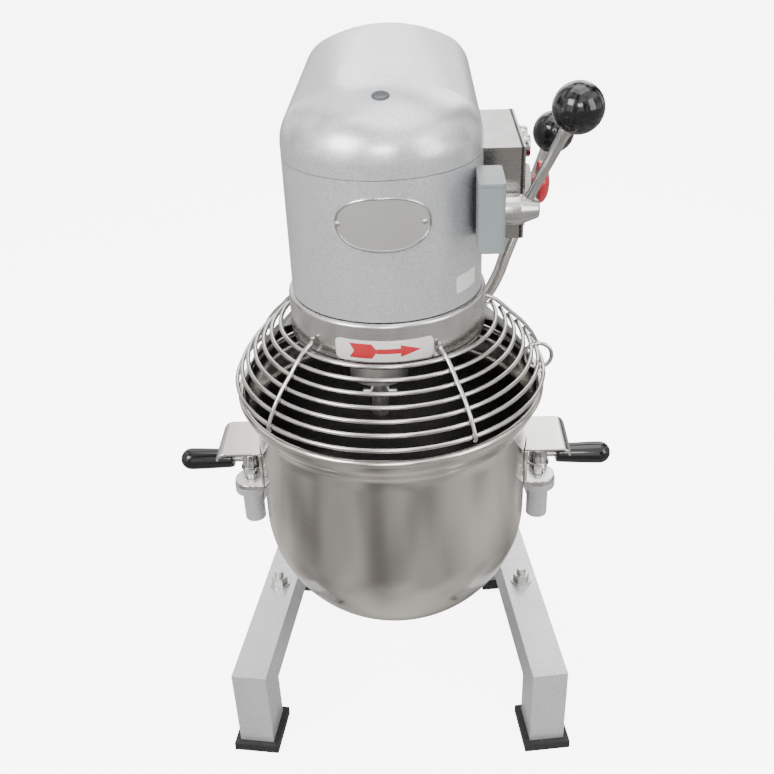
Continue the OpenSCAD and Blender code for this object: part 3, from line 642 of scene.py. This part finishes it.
def bracket(bm, sx):
    def wall_x(y, r):
        return math.sqrt(r * r - y * y)
    # Upright sheet that follows the bowl and narrows towards the ear
    levels = [(EAR_Z + 1 + (413 - EAR_Z) * i / 14) for i in range(15)]
    grids = []
    for r in (153.4, 156.6):
        rows = []
        for z in levels:
            t = (z - EAR_Z) / 58
            half = 17 + 18 * min(1, max(0, t * 1.25)) ** 1.4
            mid = PIN_Y * (1 - t)
            rows.append([(sx * wall_x(mid + half * u / 8, r), mid + half * u / 8, z) for u in range(-8, 9)])
        grids.append(rows)
    grid_sheet(bm, *grids)
    # Hand plate with its outer edge curled down
    grids = []
    for t in (0.0, 3.2):
        rows = []
        path = [(0, 416.5 - t)] + [(x, 416.5 - t) for x in (165, 175, 185, 191)]
        path += [(191 + (12.5 - t) * math.sin(math.radians(a)),
            404 + (12.5 - t) * math.cos(math.radians(a))) for a in (12, 24, 36, 48, 60, 72, 84)]
        for i, (x, z) in enumerate(path):
            shrink = 5 - math.sqrt(max(0, 25 - max(0, x - 198) ** 2)) if x > 198 else 0
            half = 35 - shrink
            row = []
            for u in range(-8, 9):
                y = half * u / 8
                row.append((sx * (wall_x(y, 153.6) if i == 0 else max(x, wall_x(y, 153.6) + i)), y, z))
            rows.append(row)
        grids.append(rows)
    grid_sheet(bm, *grids)
    # Ear with a notch for the locating pin
    a = math.degrees(math.asin(5.6 / 19))
    outline = [(152, 13), (152, -23), (166, -24)]
    outline += [(PIN_X + p, PIN_Y + q) for p, q in arc(0, 0, 19, -100, 90 - a, 22)]
    outline += [(PIN_X + p, PIN_Y + q) for p, q in arc(0, 0, 5.6, 0, -180, 14)]
    outline += [(PIN_X - 5.6, PIN_Y + 18)]
    outline = [(sx * x, y) for x, y in (outline if sx > 0 else outline[::-1])]
    add_prism(bm, outline, EAR_Z, EAR_Z + 6)


bm = bmesh.new()
bracket(bm, 1)
bracket(bm, -1)
finish_mesh("bowl_handles", bm, SLOTS["polished_stainless"], "bowl",
    ("bowl_brackets",), 40, 0.7, 2)

# ---------------------------------------------------------------- clamps and grips

STUD_X, STUD_Y, GRIP_Z = 173, 25, 370
for side, sx in (("right", 1), ("left", -1)):
    body = "clamp_r" if sx > 0 else "clamp_l"
    bm = bmesh.new()
    profile = [(6.1, EAR_Z + 0.3), (13.2, EAR_Z + 0.3), (13.6, EAR_Z + 0.9), (13.6, EAR_Z + 3.2),
        (12.6, EAR_Z + 3.9), (11.4, EAR_Z + 4.2)]
    profile += [(11.4, EAR_Z + 21), (11.8, EAR_Z + 21.6), (11.8, EAR_Z + 23.6)] + arc(0, EAR_Z + 22.5,
        11.4, 8, 90, 10)[:-1] + [(0, EAR_Z + 30 + 3.9)]
    profile = [(r, min(z, EAR_Z + 30)) for r, z in profile]
    add_lathe(bm, profile, place_at(sx * STUD_X, STUD_Y, 0), segs=48)
    nose = [(-5, -24), (5, -24), (5, -8), (-5, -8)]
    add_prism(bm, [(sx * STUD_X + x, STUD_Y + y) for x, y in nose], EAR_Z + 6.4, EAR_Z + 14)
    add_tube(bm, [(sx * (STUD_X + 9 + i * 6), STUD_Y, GRIP_Z) for i in range(8)], 4.5, segs=24)
    finish_mesh("clamp_look_" + side, bm, SLOTS["turned_steel"], body,
        ("clamp_" + side,), 35, 0.5, 2)
    bm = bmesh.new()
    profile = [(4.6, 0.4), (9.4, 0), (10.2, 0.5), (10.8, 1.6), (11.2, 4), (11.9, 18), (12.6, 34),
        (13, 50)] + arc(0, 52, 13, 4, 90, 12)[:-1] + [(0, 65)]
    place = place_at(194, STUD_Y, GRIP_Z, "X")
    if sx < 0:
        place = Matrix.Rotation(math.pi, 4, "Z") @ place_at(194, -STUD_Y, GRIP_Z, "X")
    add_lathe(bm, profile, place, segs=48)
    finish_mesh("grip_look_" + side, bm, SLOTS["black_plastic"], body, ("grip_" + side,))

# ---------------------------------------------------------------- levers and knobs


def knob(name, centre, down, body, node):
    """A moulded ball with a flat neck towards its rod and a faint parting line."""
    profile = [(0, -22.6), (6.4, -22.6), (7.4, -22.9)]
    profile += [(25 * math.cos(math.radians(a)), 25 * math.sin(math.radians(a))) for a in range(-66, 90, 4)]
    profile += [(0, 25)]
    profile = [(r - (0.12 if abs(z) < 0.9 else 0), z) for r, z in profile]
    bm = bmesh.new()
    turn = Vector((0, 0, -1)).rotation_difference(Vector(down).normalized()).to_matrix().to_4x4()
    add_lathe(bm, profile, Matrix.Translation(Vector(centre) * MM) @ turn, segs=72)
    finish_mesh(name, bm, SLOTS["black_plastic"], body, (node,))


SHIFT_BALL, SHIFT_FOOT = Vector((187, -22, 795)), Vector((143, -24, 706))
LIFT_BALL, KNEE = Vector((200, 228, 700)), Vector((146, 246, 526))
knob("shift_knob", SHIFT_BALL, SHIFT_FOOT - SHIFT_BALL, "shift_lever", "shift_ball")
knob("lift_knob", LIFT_BALL, KNEE - LIFT_BALL, "lift", "lift_ball")

bm = bmesh.new()
path = [SHIFT_FOOT.lerp(SHIFT_BALL, t) for t in (0, 0.06, 0.1, 0.4, 0.72, 0.73, 0.8)]
add_tube(bm, path, [5.2, 5.0, 4.6, 5.2, 5.8, 6.4, 6.4], segs=28)
finish_mesh("shift_stem", bm, SLOTS["bright_wire"], "shift_lever", ("shift_rod",))

bm = bmesh.new()
foot = Vector((74, 251.5, 444))
tip = KNEE.lerp(LIFT_BALL, 0.88)
path = smooth_path([foot, Vector((98, 250, 456)), Vector((124, 248, 477)), Vector((139, 247, 506)),
    KNEE + Vector((2, 0, 8)), KNEE.lerp(LIFT_BALL, 0.4), tip], 8)
add_tube(bm, path, 8.2, segs=28)
add_lathe(bm, [(9.2, 4), (16, 4), (17, 5), (17, 33), (16, 34), (9.2, 34)], place_at(58, 252, 440, "X"),
    segs=48, closed=True)
finish_mesh("lift_bar", bm, SLOTS["polished_stainless"], "lift", ("lift_lever",))

bm = bmesh.new()
profile = [(0, 1.6), (9.6, 1.6), (9.8, 0.2), (10.4, 0), (14.6, 0), (15.5, 0.9), (15.5, 18.6),
    (15.2, 19.6), (14.6, 20.4), (9.4, 35.8), (8.2, 37.4), (6.6, 38), (3.4, 38), (3.0, 37.2), (0, 37)]
add_lathe(bm, profile, place_at(116.5, -24, 697, "X"), segs=64)
finish_mesh("shift_boss", bm, SLOTS["turned_steel"], "shift_lever", ("shift_hub",))

# ---------------------------------------------------------------- controls

LID_X, START_Y, STOP_Y, BUTTON_Z, ESTOP_Y, ESTOP_Z = 141.4, 85, 55, 737, 33, 705
for name, y, slot in (("start", START_Y, "green_plastic"), ("stop", STOP_Y, "red_plastic")):
    bm = bmesh.new()
    profile = [(0, -9.8), (7.9, -9.8), (8, 7.6), (7.6, 8.4), (6.8, 8.7), (5.4, 8.3), (0, 8.0)]
    add_lathe(bm, profile, place_at(LID_X, y, BUTTON_Z, "X"), segs=40)
    finish_mesh(name + "_cap", bm, SLOTS[slot], name, (name + "_button",))
bm = bmesh.new()
for y in (START_Y, STOP_Y):
    profile = [(8.4, 0.1), (11.6, 0.1), (13.2, 0.3), (13.2, 2.2), (11.9, 3.0), (11.6, 9.4),
        (10.9, 10.4), (9.4, 10.5), (8.6, 9.6)]
    add_lathe(bm, profile, place_at(LID_X, y, BUTTON_Z, "X"), segs=48, closed=True)
finish_mesh("bezel_rings", bm, SLOTS["bright_wire"], "machine", ("button_bezels",))
bm = bmesh.new()
profile = [(0, -9.8), (7.9, -9.8), (7.9, 15.4), (14, 15.8), (19.6, 16.4), (21.4, 17.4), (21.95, 19.0),
    (21.6, 21.2), (19.6, 24.0), (16, 26.4), (11, 28.2), (5.6, 29.2), (0, 29.5)]
add_lathe(bm, profile, place_at(LID_X, ESTOP_Y, ESTOP_Z, "X"), segs=64)
finish_mesh("mushroom_cap", bm, SLOTS["red_plastic"], "estop", ("estop_button",))
bm = bmesh.new()
profile = [(8.7, 0.1), (18.4, 0.1), (19, 0.7), (19, 6.6), (17.6, 8.6), (14, 9), (8.7, 9)]
add_lathe(bm, profile, place_at(LID_X, ESTOP_Y, ESTOP_Z, "X"), segs=56, closed=True)
finish_mesh("mushroom_base", bm, SLOTS["pale_plastic"], "machine", ("estop_base",))

# Interlock housing: a moulded body with a lid line, with a spacer behind it that is black as painted shade in
# the gap to the head
bm = bmesh.new()
outline = []
for cx, cy, a in ((111, -45, 0), (94, -45, 90), (94, -92, 180), (111, -92, 270)):
    outline += arc(cx, cy, 4, a, a + 90, 6)
add_prism(bm, outline, 680, 744)
inner = [(102.5 + (x - 102.5) * 0.985, -68.5 + (y + 68.5) * 0.985) for x, y in outline]
add_prism(bm, inner, 744, 745)
add_prism(bm, outline, 745, 748)
finish_mesh("interlock_case", bm, SLOTS["interlock_plastic"], "machine",
    ("interlock_box",), 35, 1.4, 3)
# A slim black sliver on the head side of the housing: partly its bracket, partly painted shade in the gap.
bm = bmesh.new()
add_prism(bm, [(87.4, -54.6), (90.4, -54.6), (90.4, -43.6), (89.2, -47.0)], 690, 738)
finish_mesh("interlock_shade_bracket", bm, DARK, "machine", (), 35, 0.4, 2)

# Dark seal between the control box and its lid
bm = bmesh.new()
for y0, y1, z0, z1 in ((-8.3, -6, 659.7, 754.8), (131, 133.3, 659.7, 754.8), (-6, 131, 659.7, 662),
    (-6, 131, 752.5, 754.8)):
    add_prism(bm, [(LID_X - 4.6, y0), (LID_X - 2.0, y0), (LID_X - 2.0, y1), (LID_X - 4.6, y1)], z0, z1)
finish_mesh("lid_seal", bm, DARK, "machine", (), 35, 0.2, 2)

# Dark pins under the yoke's bosses
bm = bmesh.new()
for sx in (-1, 1):
    add_lathe(bm, [(0, 301), (3.4, 301), (4, 301.6), (4, 306.5), (0, 306.5)],
        place_at(sx * PIN_X, PIN_Y, 0), segs=24)
finish_mesh("boss_pins", bm, SLOTS["gear_steel"], "yoke")

# ---------------------------------------------------------------- kept CAD nodes: rounded edges

ROUNDED = {
    "front_leg_left": 2.2, "front_leg_right": 2.2, "base_frame": 2.0, "foot_pads": 1.4, "leg_bolts": 0.5,
    "leg_nuts": 0.5, "column": 2.0, "column_bolts": 0.5, "rear_panel": 0.6, "control_box": 0.8,
    "control_lid": 0.7, "interlock_box": 1.2, "bowl_yoke": 1.2, "planet_carrier": 0.6,
    "agitator_shaft": 0.6, "cable_gland": 0.5, "panel_screws": 0.4, "slideway": 0.5,
}
for name, width in ROUNDED.items():
    add_bevel(nodes[name], width, 3 if width > 1 else 2)

# ---------------------------------------------------------------- stage, light, camera

floor_mat, floor_nt, floor_bsdf = new_material("floor_white", (0.92, 0.92, 0.92), roughness=0.85,
    specular=0.2)
vary(floor_nt, floor_bsdf, "Base Color", noise(floor_nt, 3), grey(0.90), grey(0.94))
# The floor looks white, and mirrors in the steel as the duller floor of a workshop
rays = floor_nt.nodes.new("ShaderNodeLightPath")
glow = floor_nt.nodes.new("ShaderNodeEmission")
glow.inputs["Strength"].default_value = 6.5
white = floor_nt.nodes.new("ShaderNodeAddShader")
floor_nt.links.new(floor_bsdf.outputs["BSDF"], white.inputs[0])
floor_nt.links.new(glow.outputs["Emission"], white.inputs[1])
seen = floor_nt.nodes.new("ShaderNodeMixShader")
floor_nt.links.new(rays.outputs["Is Camera Ray"], seen.inputs["Fac"])
floor_nt.links.new(floor_bsdf.outputs["BSDF"], seen.inputs[1])
floor_nt.links.new(white.outputs["Shader"], seen.inputs[2])
dull = floor_nt.nodes.new("ShaderNodeEmission")
floor_nt.links.new(ramp(floor_nt, noise(floor_nt, 2.4), (0.22, 0.21, 0.20), (0.85, 0.82, 0.78)),
    dull.inputs["Color"])
mirrored = floor_nt.nodes.new("ShaderNodeMixShader")
floor_nt.links.new(rays.outputs["Is Glossy Ray"], mirrored.inputs["Fac"])
floor_nt.links.new(seen.outputs["Shader"], mirrored.inputs[1])
floor_nt.links.new(dull.outputs["Emission"], mirrored.inputs[2])
floor_nt.links.new(mirrored.outputs["Shader"], floor_nt.nodes["Material Output"].inputs["Surface"])
bm = bmesh.new()
bmesh.ops.create_grid(bm, x_segments=1, y_segments=1, size=14)
floor_mesh = bpy.data.meshes.new("floor")
bm.to_mesh(floor_mesh)
bm.free()
floor = bpy.data.objects.new("floor", floor_mesh)
floor_mesh.materials.append(floor_mat)
bpy.context.scene.collection.objects.link(floor)

world = bpy.data.worlds.new("studio")
bpy.context.scene.world = world
world.use_nodes = True
wnt = world.node_tree
# Soft even light for matt surfaces; upright bright and dark panels for the steel to mirror
coord = wnt.nodes.new("ShaderNodeTexCoord")
stretch = wnt.nodes.new("ShaderNodeMapping")
stretch.inputs["Scale"].default_value = (2.6, 2.6, 0.35)
wnt.links.new(coord.outputs["Generated"], stretch.inputs["Vector"])
panels = wnt.nodes.new("ShaderNodeTexNoise")
panels.inputs["Scale"].default_value = 1.6
panels.inputs["Detail"].default_value = 2.0
wnt.links.new(stretch.outputs["Vector"], panels.inputs["Vector"])
room = ramp(wnt, panels.outputs["Fac"], (0.05, 0.05, 0.052), (2.3, 2.28, 2.24), (0.40, 0.60))
rays = wnt.nodes.new("ShaderNodeLightPath")
choose = wnt.nodes.new("ShaderNodeMix")
choose.data_type = "RGBA"
wnt.links.new(rays.outputs["Is Glossy Ray"], choose.inputs["Factor"])
even, mirrored_room = [i for i in choose.inputs if i.type == "RGBA"]
even.default_value = (0.50, 0.51, 0.53, 1)
wnt.links.new(room, mirrored_room)
mixed = [o for o in choose.outputs if o.type == "RGBA"][0]
wnt.links.new(mixed, wnt.nodes["Background"].inputs["Color"])
# Behind the floor the camera sees the same white
plain = wnt.nodes.new("ShaderNodeBackground")
plain.inputs["Color"].default_value = (1, 1, 1, 1)
plain.inputs["Strength"].default_value = 7.0
behind = wnt.nodes.new("ShaderNodeMixShader")
wnt.links.new(rays.outputs["Is Camera Ray"], behind.inputs["Fac"])
wnt.links.new(wnt.nodes["Background"].outputs["Background"], behind.inputs[1])
wnt.links.new(plain.outputs["Background"], behind.inputs[2])
wnt.links.new(behind.outputs["Shader"], wnt.nodes["World Output"].inputs["Surface"])
wnt.nodes["Background"].inputs["Strength"].default_value = 1.0


def area_light(name, place, target, size, power, color=(1, 1, 1)):
    data = bpy.data.lights.new(name, "AREA")
    data.shape = "RECTANGLE"
    data.size, data.size_y = size
    data.energy = power
    data.color = color
    obj = bpy.data.objects.new(name, data)
    obj.location = place
    obj.rotation_mode = "QUATERNION"
    obj.rotation_quaternion = (Vector(target) - Vector(place)).to_track_quat("-Z", "Y")
    bpy.context.scene.collection.objects.link(obj)


area_light("key", (-1.6, -1.5, 2.2), (0, 0, 0.5), (1.2, 1.2), 74)
area_light("fill", (1.9, -1.2, 1.5), (0, 0, 0.5), (1.0, 1.6), 24)
area_light("top", (0.2, 0.3, 2.6), (0, 0.1, 0.6), (1.6, 1.6), 26)
area_light("front", (0.1, -2.0, 1.7), (0, 0, 0.5), (0.7, 0.5), 16)
area_light("back", (0.3, 2.0, 1.6), (0, 0.1, 0.5), (1.6, 1.0), 16)

CAMERA_AT = Vector((34.1, -952.3, 1043.9)) * MM
YAW, PITCH, ROLL = (math.radians(a) for a in (-2.31, 30.57, 2.27))
forward = Vector((math.sin(YAW) * math.cos(PITCH), math.cos(YAW) * math.cos(PITCH), -math.sin(PITCH)))
level = Vector((math.cos(YAW), -math.sin(YAW), 0))
down = forward.cross(level)
right = level * math.cos(ROLL) + down * math.sin(ROLL)
low = down * math.cos(ROLL) - level * math.sin(ROLL)
cam_data = bpy.data.cameras.new("camera")
cam_data.sensor_width = 36
cam_data.lens = 45.6
cam = bpy.data.objects.new("camera", cam_data)
columns = (right, -low, -forward)
turn = Matrix([[c[i] for c in columns] for i in range(3)]).to_4x4()
cam.matrix_world = Matrix.Translation(CAMERA_AT) @ turn
bpy.context.scene.collection.objects.link(cam)
bpy.context.scene.camera = cam
